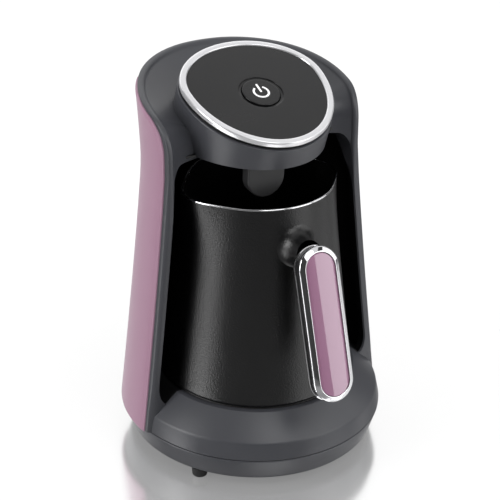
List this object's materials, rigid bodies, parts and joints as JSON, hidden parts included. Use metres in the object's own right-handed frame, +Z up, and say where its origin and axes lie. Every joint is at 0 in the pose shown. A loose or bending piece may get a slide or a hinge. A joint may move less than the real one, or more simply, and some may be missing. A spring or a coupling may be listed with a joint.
{
  "type": "electric turkish coffee maker",
  "caption": "Electric Turkish coffee maker: round heated base, half-round tower with tilted control head, power button, and a spouted pot with upright handle that draws out.",
  "frame": {"origin": "on the table plane, in the middle of the footprint with the pot's handle included", "axes": "+Z up, -Y towards the front where the handle points, +X to the right seen from the front"},
  "size_m": [0.1458, 0.1589, 0.209],
  "materials": {
    "grey_plastic": "fine satin, dark grey with a touch of violet",
    "black_plastic": "satin black",
    "mauve_plastic": "metallic mauve, softly glossy",
    "chrome_trim": "polished",
    "panel_gloss": "dark grey, satin gloss",
    "icon_white": "translucent white",
    "pot_coating": "satin black coating on pressed metal",
    "plate_metal": "dark heat-proof coating",
    "steel": "bare steel",
    "aluminium": "plain sheet",
    "ceramic": "pale heat-proof body",
    "board_green": "circuit board, solder mask",
    "component_black": "moulded components",
    "rubber_black": "matt",
    "cable_black": "PVC sleeve",
    "lens_dark": "dark infrared window"
  },
  "bodies": {
    "housing": {"base_lower_pan": "grey_plastic", "rubber_feet": "rubber_black", "base_screws": "steel", "cord_gland": "rubber_black", "base_deck": "grey_plastic", "hot_plate": "plate_metal", "heating_element": "steel", "heat_shield": "aluminium", "thermostat": "ceramic", "thermostat_strap": "steel", "thermal_fuse": "ceramic", "power_board": "board_green", "relay": "component_black", "board_parts": "component_black", "mains_terminal": "ceramic", "body_shell": "grey_plastic", "cavity_liner": "black_plastic", "side_panel_left": "mauve_plastic", "side_panel_right": "mauve_plastic", "head_shell": "grey_plastic", "head_underside_cover": "black_plastic", "head_carrier": "black_plastic", "chrome_bezel": "chrome_trim", "top_panel": "panel_gloss", "tact_switch": "component_black", "button_spring": "steel", "control_board": "board_green", "control_board_screws": "steel", "buzzer": "component_black", "indicator_led": "icon_white", "sensor_nose": "black_plastic", "sensor_board": "board_green", "sensor_window": "lens_dark", "wire_harness": "cable_black"},
    "pot": {"pot_body": "pot_coating", "handle_boss": "pot_coating", "handle_frame": "chrome_trim", "handle_inlay": "mauve_plastic", "handle_core": "black_plastic", "handle_back_trim": "chrome_trim", "handle_back_cover": "black_plastic", "handle_screws": "steel"},
    "power_button": {"button_cap": "panel_gloss", "icon_lens": "icon_white"},
    "switch_plunger": {"tact_stem": "component_black"}
  },
  "joints": [
    {"name": "pot_draw", "type": "slide", "parent": "housing", "child": "pot", "axis": [0, -1, 0], "range_m": [0, 0.15]},
    {"name": "button_press", "type": "slide", "parent": "housing", "child": "power_button", "axis": [0, 0.3256, -0.9455], "range_m": [0, 0.0012], "stiffness_N_per_m": 800, "springref_m": -0.001, "deforming": ["button_spring"]},
    {"name": "switch_press", "type": "slide", "parent": "housing", "child": "switch_plunger", "axis": [0, 0.3256, -0.9455], "range_m": [0, 0.0012]}
  ],
  "couplings": [
    {"joint": "switch_press", "follows": "button_press", "ratio": 1}
  ]
}
